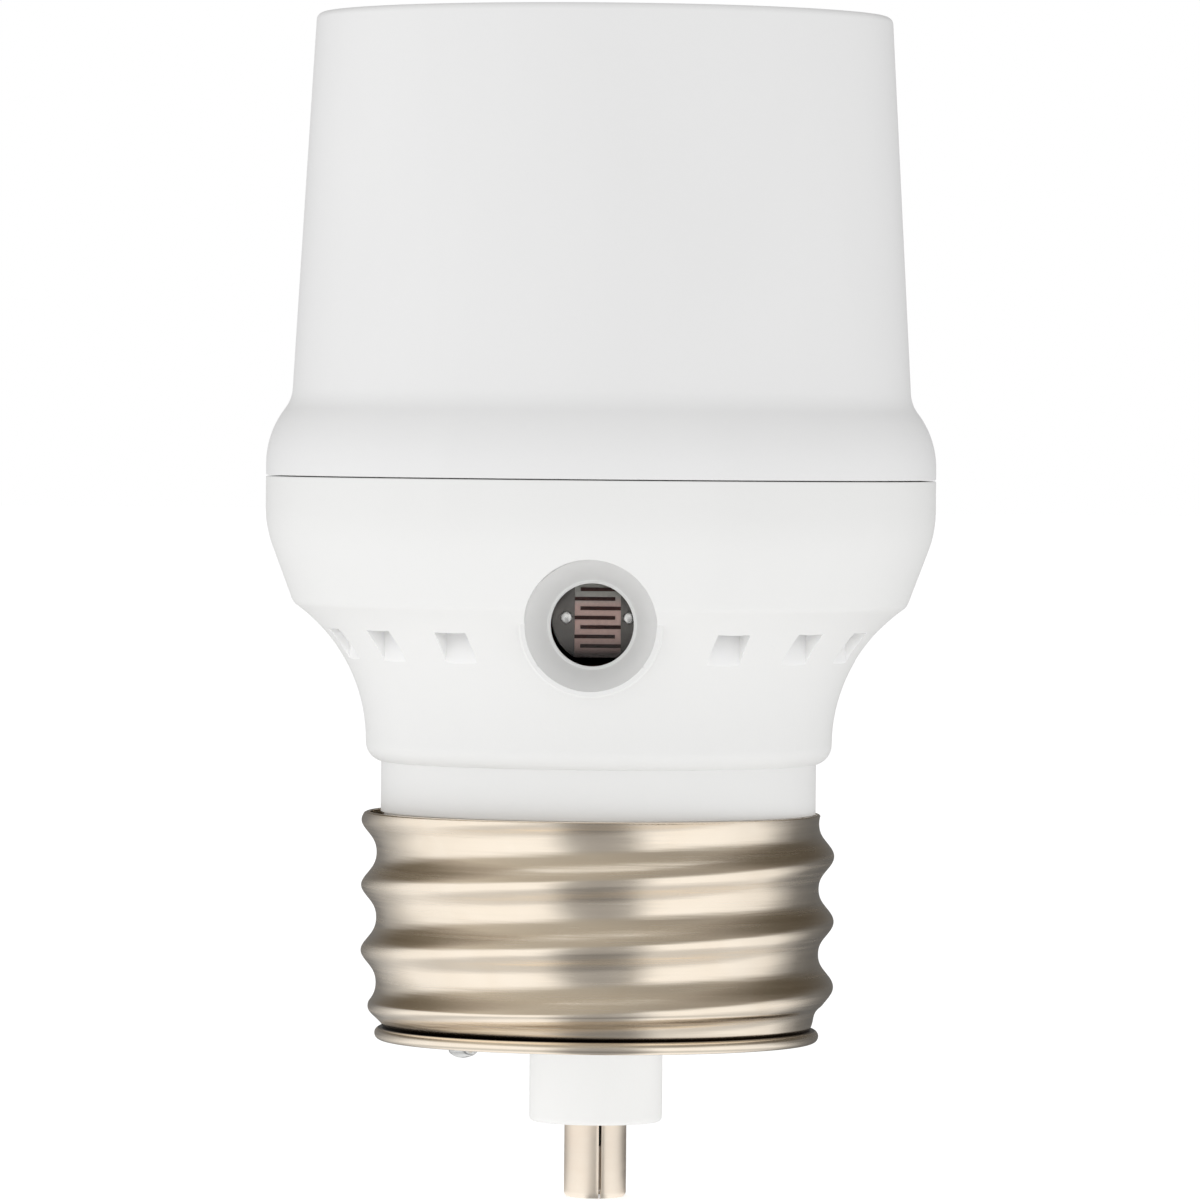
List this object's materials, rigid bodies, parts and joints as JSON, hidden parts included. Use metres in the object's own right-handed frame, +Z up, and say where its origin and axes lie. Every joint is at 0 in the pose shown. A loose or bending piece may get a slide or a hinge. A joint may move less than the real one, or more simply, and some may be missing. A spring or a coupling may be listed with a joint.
{
  "type": "photocell switch",
  "caption": "Light-sensing lamp switch: threaded metal base below, white cup with a lamp socket above, photocell behind a round window in the side, vents under the bulge",
  "frame": {"origin": "tip of the centre contact, on the axis of the screw base", "axes": "+Z up along the axis into the lamp socket, -Y out of the photocell window, +X to its right"},
  "size_m": [0.0372, 0.0372, 0.0657],
  "materials": {
    "cup_plastic": "moulded white, soft sheen",
    "housing_plastic": "moulded white, soft sheen",
    "plug_plastic": "moulded white",
    "nickel_sheet": "rolled, nickel-plated, warm grey",
    "pin_nickel": "rolled, nickel-plated, warm grey",
    "solder": "dull solder",
    "socket_metal": "rolled sheet",
    "spring_brass": "spring strip",
    "rivet_brass": "upset heads",
    "insulator": "pressed insulating disc",
    "board_green": "solder mask",
    "cell_ceramic": "light-sensitive film on ceramic",
    "cell_metal": "evaporated film",
    "clear_resin": "clear coat",
    "tinned_wire": "tinned",
    "black_epoxy": "moulded epoxy",
    "cap_red": "dipped epoxy",
    "cap_sleeve": "shrunk sleeve",
    "diode_black": "moulded epoxy",
    "zener_amber": "lacquered body",
    "resistor_tan": "lacquered body",
    "wire_black": "insulated wire",
    "wire_white": "insulated wire",
    "wire_red": "insulated wire"
  },
  "bodies": {
    "root": {"socket_shroud": "cup_plastic", "lower_housing": "housing_plastic", "base_screw_shell": "nickel_sheet", "base_plug": "plug_plastic", "contact_pin": "pin_nickel", "pin_solder": "solder", "neutral_solder": "solder", "socket_screw_shell": "socket_metal", "socket_base": "insulator", "socket_contact": "spring_brass", "contact_rivet": "rivet_brass", "shell_rivets": "rivet_brass", "circuit_board": "board_green", "photocell_disc": "cell_ceramic", "photocell_electrodes": "cell_metal", "photocell_coat": "clear_resin", "photocell_leads": "tinned_wire", "thyristor": "black_epoxy", "driver_transistor": "black_epoxy", "dropper_capacitor": "cap_red", "smoothing_capacitor": "cap_sleeve", "rectifier_diodes": "diode_black", "zener_diode": "zener_amber", "resistors": "resistor_tan", "solder_joints": "solder", "live_wire": "wire_black", "neutral_wire": "wire_white", "load_wire": "wire_red", "return_wire": "wire_white"}
  },
  "joints": []
}
